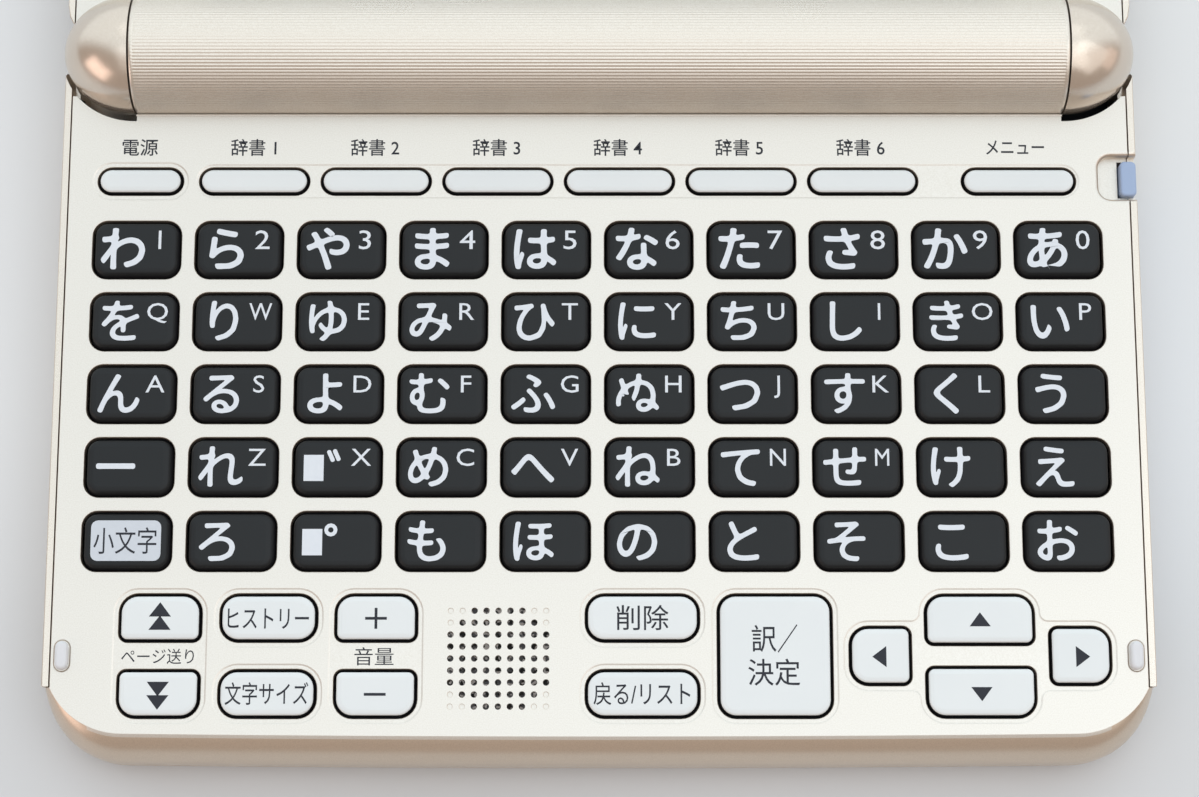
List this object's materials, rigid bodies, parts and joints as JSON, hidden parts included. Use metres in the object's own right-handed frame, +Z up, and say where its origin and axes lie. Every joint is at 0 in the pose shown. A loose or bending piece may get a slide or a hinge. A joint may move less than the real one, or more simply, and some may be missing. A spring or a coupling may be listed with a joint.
{
  "type": "electronic dictionary",
  "caption": "Pocket electronic dictionary open flat: keyboard half with rows of dark keys, display half, and a ribbed hinge barrel with rounded ends between them.",
  "frame": {"origin": "on the table under the hinge axis, midway between the sides", "axes": "+X to the user's right, +Y to the rear from the keyboard half to the open lid, +Z up"},
  "size_m": [0.1436, 0.1894, 0.0205],
  "materials": {
    "gold_paint": "satin metallic gold paint on moulded plastic",
    "champagne_paint": "satin metallic champagne paint on moulded plastic",
    "pale_key_plastic": "smooth pale blue-grey moulded plastic",
    "charcoal_key_plastic": "matte charcoal moulded plastic",
    "blue_plastic": "satin light blue moulded plastic",
    "clear_bumper": "translucent soft plastic",
    "black_rubber": "matte black rubber",
    "window_plastic": "polished acrylic with a dark printed edge",
    "display_panel": "grey liquid crystal panel",
    "battery_can": "printed film round a metal can",
    "steel": "plain steel",
    "circuit_board": "green solder resist on glass laminate",
    "cable_jacket": "thin flexible jacket"
  },
  "bodies": {
    "base": {"base_bottom_case": "gold_paint", "base_deck": "champagne_paint", "hinge_barrel": "gold_paint", "battery_left": "battery_can", "battery_right": "battery_can", "battery_plate_contact": "steel", "battery_spring_contact": "steel", "main_circuit_board": "circuit_board", "key_rubber_mat": "black_rubber", "speaker": "steel", "bumper_left": "clear_bumper", "bumper_right": "clear_bumper", "foot_front_left": "black_rubber", "foot_front_right": "black_rubber", "foot_rear_left": "black_rubber", "foot_rear_right": "black_rubber", "case_screw_1": "steel", "case_screw_2": "steel", "case_screw_3": "steel", "case_screw_4": "steel"},
    "lid": {"lid_back_cover": "gold_paint", "lid_inner_frame": "champagne_paint", "display_window": "window_plastic", "display_panel": "display_panel", "hinge_shaft_left": "steel", "hinge_shaft_right": "steel", "display_cable": "cable_jacket"},
    "stylus": {"stylus": "blue_plastic"},
    "battery_door": {"battery_door": "gold_paint"},
    "power_key": {"power_key": "pale_key_plastic"},
    "function_key_1": {"function_key_1": "pale_key_plastic"},
    "function_key_2": {"function_key_2": "pale_key_plastic"},
    "function_key_3": {"function_key_3": "pale_key_plastic"},
    "function_key_4": {"function_key_4": "pale_key_plastic"},
    "function_key_5": {"function_key_5": "pale_key_plastic"},
    "function_key_6": {"function_key_6": "pale_key_plastic"},
    "menu_key": {"menu_key": "pale_key_plastic"},
    "page_up_key": {"page_up_key": "pale_key_plastic"},
    "page_down_key": {"page_down_key": "pale_key_plastic"},
    "history_key": {"history_key": "pale_key_plastic"},
    "text_size_key": {"text_size_key": "pale_key_plastic"},
    "volume_up_key": {"volume_up_key": "pale_key_plastic"},
    "volume_down_key": {"volume_down_key": "pale_key_plastic"},
    "delete_key": {"delete_key": "pale_key_plastic"},
    "back_key": {"back_key": "pale_key_plastic"},
    "enter_key": {"enter_key": "pale_key_plastic"},
    "arrow_up_key": {"arrow_up_key": "pale_key_plastic"},
    "arrow_down_key": {"arrow_down_key": "pale_key_plastic"},
    "arrow_left_key": {"arrow_left_key": "pale_key_plastic"},
    "arrow_right_key": {"arrow_right_key": "pale_key_plastic"},
    "kana_keys_column_1": {"kana_keys_column_1": "charcoal_key_plastic"},
    "kana_keys_column_2": {"kana_keys_column_2": "charcoal_key_plastic"},
    "kana_keys_column_3": {"kana_keys_column_3": "charcoal_key_plastic"},
    "kana_keys_column_4": {"kana_keys_column_4": "charcoal_key_plastic"},
    "kana_keys_column_5": {"kana_keys_column_5": "charcoal_key_plastic"},
    "kana_keys_column_6": {"kana_keys_column_6": "charcoal_key_plastic"},
    "kana_keys_column_7": {"kana_keys_column_7": "charcoal_key_plastic"},
    "kana_keys_column_8": {"kana_keys_column_8": "charcoal_key_plastic"},
    "kana_keys_column_9": {"kana_keys_column_9": "charcoal_key_plastic"},
    "kana_keys_column_10": {"kana_keys_column_10": "charcoal_key_plastic"}
  },
  "joints": [
    {"name": "lid_hinge", "type": "hinge", "parent": "base", "child": "lid", "pos_m": [0, 0, 0.0125], "axis": [1, 0, 0], "range_deg": [0, 180]},
    {"name": "stylus_slide", "type": "slide", "parent": "base", "child": "stylus", "axis": [1, 0, 0], "range_m": [0, 0.008]},
    {"name": "battery_door_slide", "type": "slide", "parent": "base", "child": "battery_door", "axis": [0, 1, 0], "range_m": [0, 0.01]},
    {"name": "power_key_press", "type": "slide", "parent": "base", "child": "power_key", "axis": [0, 0, -1], "range_m": [0, 0.0005], "stiffness_N_per_m": 1200},
    {"name": "function_key_1_press", "type": "slide", "parent": "base", "child": "function_key_1", "axis": [0, 0, -1], "range_m": [0, 0.0005], "stiffness_N_per_m": 1200},
    {"name": "function_key_2_press", "type": "slide", "parent": "base", "child": "function_key_2", "axis": [0, 0, -1], "range_m": [0, 0.0005], "stiffness_N_per_m": 1200},
    {"name": "function_key_3_press", "type": "slide", "parent": "base", "child": "function_key_3", "axis": [0, 0, -1], "range_m": [0, 0.0005], "stiffness_N_per_m": 1200},
    {"name": "function_key_4_press", "type": "slide", "parent": "base", "child": "function_key_4", "axis": [0, 0, -1], "range_m": [0, 0.0005], "stiffness_N_per_m": 1200},
    {"name": "function_key_5_press", "type": "slide", "parent": "base", "child": "function_key_5", "axis": [0, 0, -1], "range_m": [0, 0.0005], "stiffness_N_per_m": 1200},
    {"name": "function_key_6_press", "type": "slide", "parent": "base", "child": "function_key_6", "axis": [0, 0, -1], "range_m": [0, 0.0005], "stiffness_N_per_m": 1200},
    {"name": "menu_key_press", "type": "slide", "parent": "base", "child": "menu_key", "axis": [0, 0, -1], "range_m": [0, 0.0005], "stiffness_N_per_m": 1200},
    {"name": "page_up_key_press", "type": "slide", "parent": "base", "child": "page_up_key", "axis": [0, 0, -1], "range_m": [0, 0.0005], "stiffness_N_per_m": 1200},
    {"name": "page_down_key_press", "type": "slide", "parent": "base", "child": "page_down_key", "axis": [0, 0, -1], "range_m": [0, 0.0005], "stiffness_N_per_m": 1200},
    {"name": "history_key_press", "type": "slide", "parent": "base", "child": "history_key", "axis": [0, 0, -1], "range_m": [0, 0.0005], "stiffness_N_per_m": 1200},
    {"name": "text_size_key_press", "type": "slide", "parent": "base", "child": "text_size_key", "axis": [0, 0, -1], "range_m": [0, 0.0005], "stiffness_N_per_m": 1200},
    {"name": "volume_up_key_press", "type": "slide", "parent": "base", "child": "volume_up_key", "axis": [0, 0, -1], "range_m": [0, 0.0005], "stiffness_N_per_m": 1200},
    {"name": "volume_down_key_press", "type": "slide", "parent": "base", "child": "volume_down_key", "axis": [0, 0, -1], "range_m": [0, 0.0005], "stiffness_N_per_m": 1200},
    {"name": "delete_key_press", "type": "slide", "parent": "base", "child": "delete_key", "axis": [0, 0, -1], "range_m": [0, 0.0005], "stiffness_N_per_m": 1200},
    {"name": "back_key_press", "type": "slide", "parent": "base", "child": "back_key", "axis": [0, 0, -1], "range_m": [0, 0.0005], "stiffness_N_per_m": 1200},
    {"name": "enter_key_press", "type": "slide", "parent": "base", "child": "enter_key", "axis": [0, 0, -1], "range_m": [0, 0.0005], "stiffness_N_per_m": 1200},
    {"name": "arrow_up_key_press", "type": "slide", "parent": "base", "child": "arrow_up_key", "axis": [0, 0, -1], "range_m": [0, 0.0005], "stiffness_N_per_m": 1200},
    {"name": "arrow_down_key_press", "type": "slide", "parent": "base", "child": "arrow_down_key", "axis": [0, 0, -1], "range_m": [0, 0.0005], "stiffness_N_per_m": 1200},
    {"name": "arrow_left_key_press", "type": "slide", "parent": "base", "child": "arrow_left_key", "axis": [0, 0, -1], "range_m": [0, 0.0005], "stiffness_N_per_m": 1200},
    {"name": "arrow_right_key_press", "type": "slide", "parent": "base", "child": "arrow_right_key", "axis": [0, 0, -1], "range_m": [0, 0.0005], "stiffness_N_per_m": 1200},
    {"name": "kana_keys_column_1_press", "type": "slide", "parent": "base", "child": "kana_keys_column_1", "axis": [0, 0, -1], "range_m": [0, 0.0005], "stiffness_N_per_m": 1200},
    {"name": "kana_keys_column_2_press", "type": "slide", "parent": "base", "child": "kana_keys_column_2", "axis": [0, 0, -1], "range_m": [0, 0.0005], "stiffness_N_per_m": 1200},
    {"name": "kana_keys_column_3_press", "type": "slide", "parent": "base", "child": "kana_keys_column_3", "axis": [0, 0, -1], "range_m": [0, 0.0005], "stiffness_N_per_m": 1200},
    {"name": "kana_keys_column_4_press", "type": "slide", "parent": "base", "child": "kana_keys_column_4", "axis": [0, 0, -1], "range_m": [0, 0.0005], "stiffness_N_per_m": 1200},
    {"name": "kana_keys_column_5_press", "type": "slide", "parent": "base", "child": "kana_keys_column_5", "axis": [0, 0, -1], "range_m": [0, 0.0005], "stiffness_N_per_m": 1200},
    {"name": "kana_keys_column_6_press", "type": "slide", "parent": "base", "child": "kana_keys_column_6", "axis": [0, 0, -1], "range_m": [0, 0.0005], "stiffness_N_per_m": 1200},
    {"name": "kana_keys_column_7_press", "type": "slide", "parent": "base", "child": "kana_keys_column_7", "axis": [0, 0, -1], "range_m": [0, 0.0005], "stiffness_N_per_m": 1200},
    {"name": "kana_keys_column_8_press", "type": "slide", "parent": "base", "child": "kana_keys_column_8", "axis": [0, 0, -1], "range_m": [0, 0.0005], "stiffness_N_per_m": 1200},
    {"name": "kana_keys_column_9_press", "type": "slide", "parent": "base", "child": "kana_keys_column_9", "axis": [0, 0, -1], "range_m": [0, 0.0005], "stiffness_N_per_m": 1200},
    {"name": "kana_keys_column_10_press", "type": "slide", "parent": "base", "child": "kana_keys_column_10", "axis": [0, 0, -1], "range_m": [0, 0.0005], "stiffness_N_per_m": 1200}
  ]
}
